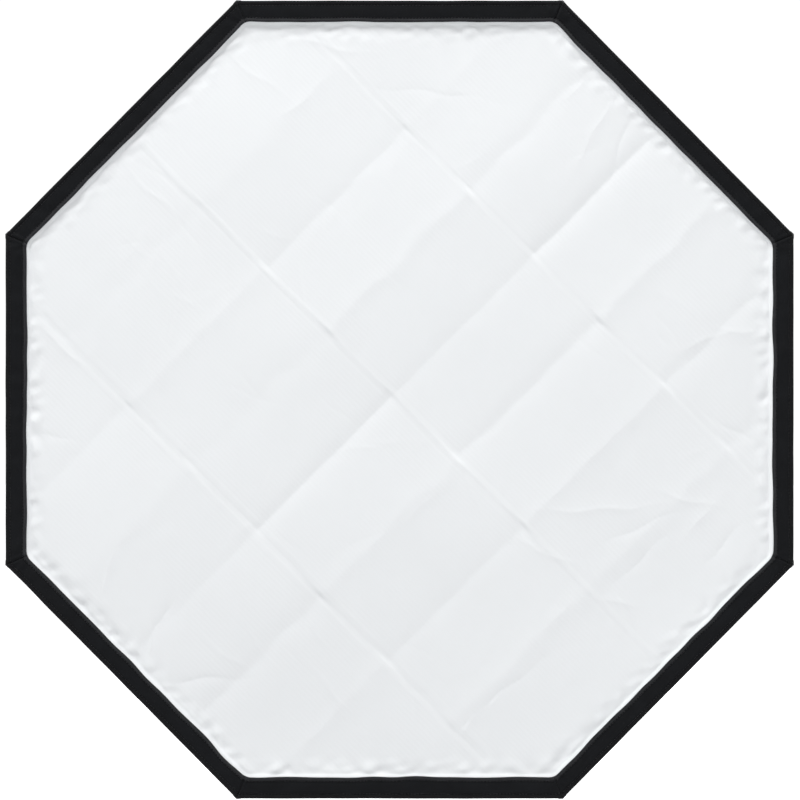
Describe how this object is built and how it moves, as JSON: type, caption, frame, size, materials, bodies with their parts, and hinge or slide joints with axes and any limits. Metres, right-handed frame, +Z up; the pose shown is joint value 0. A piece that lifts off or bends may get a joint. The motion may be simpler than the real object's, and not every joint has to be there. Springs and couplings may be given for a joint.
{
  "type": "studio softbox",
  "caption": "Octagonal folding studio softbox with a black lip, a creased white front diffuser, an inner baffle, hinged ribs and a bayonet ring that turns.",
  "frame": {"origin": "centre of the bayonet ring's seat, in the plane that touches the lamp's face", "axes": "+Y points back into the lamp, the light leaves along -Y, +Z is up and +X is to the right seen from the front"},
  "size_m": [1.2, 0.439, 1.2],
  "materials": {
    "cast_aluminium": "turned and clear-anodised, fine circular tool marks",
    "black_painted_metal": "satin black powder coat",
    "steel": "zinc-plated",
    "spring_steel": "dark sprung steel rod, lightly oiled",
    "black_plastic": "glass-filled nylon, fine grain",
    "grey_plastic": "moulded acetal, fine grain",
    "black_rubber": "matt, slightly dusty",
    "black_nylon": "plain-woven coated nylon with stitched hems",
    "black_cover_cloth": "black nylon outside, dimpled silver lining inside",
    "white_diffuser_cloth": "thin white twill-woven polyester, translucent, with fold creases",
    "white_baffle_cloth": "thin white translucent cloth with a hemmed edge",
    "hook_tape": "woven hook tape, stitched on",
    "elastic_webbing": "ribbed elastic webbing"
  },
  "bodies": {
    "bayonet": {"bayonet_ring": "cast_aluminium"},
    "speedring": {"speedring_housing": "black_painted_metal", "hinge_pins": "steel", "catch_ring": "black_painted_metal", "ring_screws": "steel", "rear_collar": "black_nylon"},
    "lock": {"lock_screw": "steel", "lock_knob": "black_plastic"},
    "rib_1": {"rib_foot_1": "black_plastic", "rib_rod_1": "spring_steel", "rib_tip_cap_1": "black_rubber", "cover_gore_1": "black_cover_cloth", "front_lip_1": "black_nylon"},
    "catch_1": {"rib_catch_1": "grey_plastic"},
    "rib_2": {"rib_foot_2": "black_plastic", "rib_rod_2": "spring_steel", "rib_tip_cap_2": "black_rubber", "cover_gore_2": "black_cover_cloth", "front_lip_2": "black_nylon"},
    "catch_2": {"rib_catch_2": "grey_plastic"},
    "rib_3": {"rib_foot_3": "black_plastic", "rib_rod_3": "spring_steel", "rib_tip_cap_3": "black_rubber", "cover_gore_3": "black_cover_cloth", "front_lip_3": "black_nylon"},
    "catch_3": {"rib_catch_3": "grey_plastic"},
    "rib_4": {"rib_foot_4": "black_plastic", "rib_rod_4": "spring_steel", "rib_tip_cap_4": "black_rubber", "cover_gore_4": "black_cover_cloth", "front_lip_4": "black_nylon"},
    "catch_4": {"rib_catch_4": "grey_plastic"},
    "rib_5": {"rib_foot_5": "black_plastic", "rib_rod_5": "spring_steel", "rib_tip_cap_5": "black_rubber", "cover_gore_5": "black_cover_cloth", "front_lip_5": "black_nylon"},
    "catch_5": {"rib_catch_5": "grey_plastic"},
    "rib_6": {"rib_foot_6": "black_plastic", "rib_rod_6": "spring_steel", "rib_tip_cap_6": "black_rubber", "cover_gore_6": "black_cover_cloth", "front_lip_6": "black_nylon"},
    "catch_6": {"rib_catch_6": "grey_plastic"},
    "rib_7": {"rib_foot_7": "black_plastic", "rib_rod_7": "spring_steel", "rib_tip_cap_7": "black_rubber", "cover_gore_7": "black_cover_cloth", "front_lip_7": "black_nylon"},
    "catch_7": {"rib_catch_7": "grey_plastic"},
    "rib_8": {"rib_foot_8": "black_plastic", "rib_rod_8": "spring_steel", "rib_tip_cap_8": "black_rubber", "cover_gore_8": "black_cover_cloth", "front_lip_8": "black_nylon"},
    "catch_8": {"rib_catch_8": "grey_plastic"},
    "diffuser": {"front_diffuser": "white_diffuser_cloth", "diffuser_hook_tape": "hook_tape"},
    "baffle": {"inner_baffle": "white_baffle_cloth", "baffle_straps": "elastic_webbing"}
  },
  "joints": [
    {"name": "speedring_turn", "type": "hinge", "parent": "bayonet", "child": "speedring", "pos_m": [0, 0, 0], "axis": [0, 1, 0], "continuous": true},
    {"name": "lock_knob_turn", "type": "hinge", "parent": "speedring", "child": "lock", "pos_m": [0, -0.0091, -0.1], "axis": [0, 0, -1], "range_deg": [0, 360]},
    {"name": "rib_1_fold", "type": "hinge", "parent": "speedring", "child": "rib_1", "pos_m": [0.07945, -0.014, 0.03291], "axis": [0.3827, 0, -0.9239], "range_deg": [0, 50], "deforming": ["cover_gore_1", "front_lip_1"]},
    {"name": "rib_2_fold", "type": "hinge", "parent": "speedring", "child": "rib_2", "pos_m": [0.03291, -0.014, 0.07945], "axis": [0.9239, 0, -0.3827], "range_deg": [0, 50], "deforming": ["cover_gore_2", "front_lip_2"]},
    {"name": "rib_3_fold", "type": "hinge", "parent": "speedring", "child": "rib_3", "pos_m": [-0.03291, -0.014, 0.07945], "axis": [0.9239, 0, 0.3827], "range_deg": [0, 50], "deforming": ["cover_gore_3", "front_lip_3"]},
    {"name": "rib_4_fold", "type": "hinge", "parent": "speedring", "child": "rib_4", "pos_m": [-0.07945, -0.014, 0.03291], "axis": [0.3827, 0, 0.9239], "range_deg": [0, 50], "deforming": ["cover_gore_4", "front_lip_4"]},
    {"name": "rib_5_fold", "type": "hinge", "parent": "speedring", "child": "rib_5", "pos_m": [-0.07945, -0.014, -0.03291], "axis": [-0.3827, 0, 0.9239], "range_deg": [0, 50], "deforming": ["cover_gore_5", "front_lip_5"]},
    {"name": "rib_6_fold", "type": "hinge", "parent": "speedring", "child": "rib_6", "pos_m": [-0.03291, -0.014, -0.07945], "axis": [-0.9239, 0, 0.3827], "range_deg": [0, 50], "deforming": ["cover_gore_6", "front_lip_6"]},
    {"name": "rib_7_fold", "type": "hinge", "parent": "speedring", "child": "rib_7", "pos_m": [0.03291, -0.014, -0.07945], "axis": [-0.9239, 0, -0.3827], "range_deg": [0, 50], "deforming": ["cover_gore_7", "front_lip_7"]},
    {"name": "rib_8_fold", "type": "hinge", "parent": "speedring", "child": "rib_8", "pos_m": [0.07945, -0.014, -0.03291], "axis": [-0.3827, 0, -0.9239], "range_deg": [0, 50], "deforming": ["cover_gore_8", "front_lip_8"]},
    {"name": "catch_1_press", "type": "slide", "parent": "speedring", "child": "catch_1", "axis": [-0.9239, 0, -0.3827], "range_m": [0, 0.0045], "stiffness_N_per_m": 600, "springref_m": -0.002},
    {"name": "catch_2_press", "type": "slide", "parent": "speedring", "child": "catch_2", "axis": [-0.3827, 0, -0.9239], "range_m": [0, 0.0045], "stiffness_N_per_m": 600, "springref_m": -0.002},
    {"name": "catch_3_press", "type": "slide", "parent": "speedring", "child": "catch_3", "axis": [0.3827, 0, -0.9239], "range_m": [0, 0.0045], "stiffness_N_per_m": 600, "springref_m": -0.002},
    {"name": "catch_4_press", "type": "slide", "parent": "speedring", "child": "catch_4", "axis": [0.9239, 0, -0.3827], "range_m": [0, 0.0045], "stiffness_N_per_m": 600, "springref_m": -0.002},
    {"name": "catch_5_press", "type": "slide", "parent": "speedring", "child": "catch_5", "axis": [0.9239, 0, 0.3827], "range_m": [0, 0.0045], "stiffness_N_per_m": 600, "springref_m": -0.002},
    {"name": "catch_6_press", "type": "slide", "parent": "speedring", "child": "catch_6", "axis": [0.3827, 0, 0.9239], "range_m": [0, 0.0045], "stiffness_N_per_m": 600, "springref_m": -0.002},
    {"name": "catch_7_press", "type": "slide", "parent": "speedring", "child": "catch_7", "axis": [-0.3827, 0, 0.9239], "range_m": [0, 0.0045], "stiffness_N_per_m": 600, "springref_m": -0.002},
    {"name": "catch_8_press", "type": "slide", "parent": "speedring", "child": "catch_8", "axis": [-0.9239, 0, 0.3827], "range_m": [0, 0.0045], "stiffness_N_per_m": 600, "springref_m": -0.002},
    {"name": "diffuser_off", "type": "slide", "parent": "speedring", "child": "diffuser", "axis": [0, -1, 0], "range_m": [0, 0.56], "deforming": ["front_diffuser", "diffuser_hook_tape"]},
    {"name": "baffle_off", "type": "slide", "parent": "speedring", "child": "baffle", "axis": [0, -1, 0], "range_m": [0, 0.68], "deforming": ["inner_baffle", "baffle_straps"]}
  ],
  "couplings": [
    {"joint": "rib_2_fold", "follows": "rib_1_fold", "ratio": 1},
    {"joint": "rib_3_fold", "follows": "rib_1_fold", "ratio": 1},
    {"joint": "rib_4_fold", "follows": "rib_1_fold", "ratio": 1},
    {"joint": "rib_5_fold", "follows": "rib_1_fold", "ratio": 1},
    {"joint": "rib_6_fold", "follows": "rib_1_fold", "ratio": 1},
    {"joint": "rib_7_fold", "follows": "rib_1_fold", "ratio": 1},
    {"joint": "rib_8_fold", "follows": "rib_1_fold", "ratio": 1},
    {"joint": "diffuser_off", "follows": "rib_1_fold", "m_per_rad": 0.641},
    {"joint": "baffle_off", "follows": "rib_1_fold", "m_per_rad": 0.779}
  ]
}
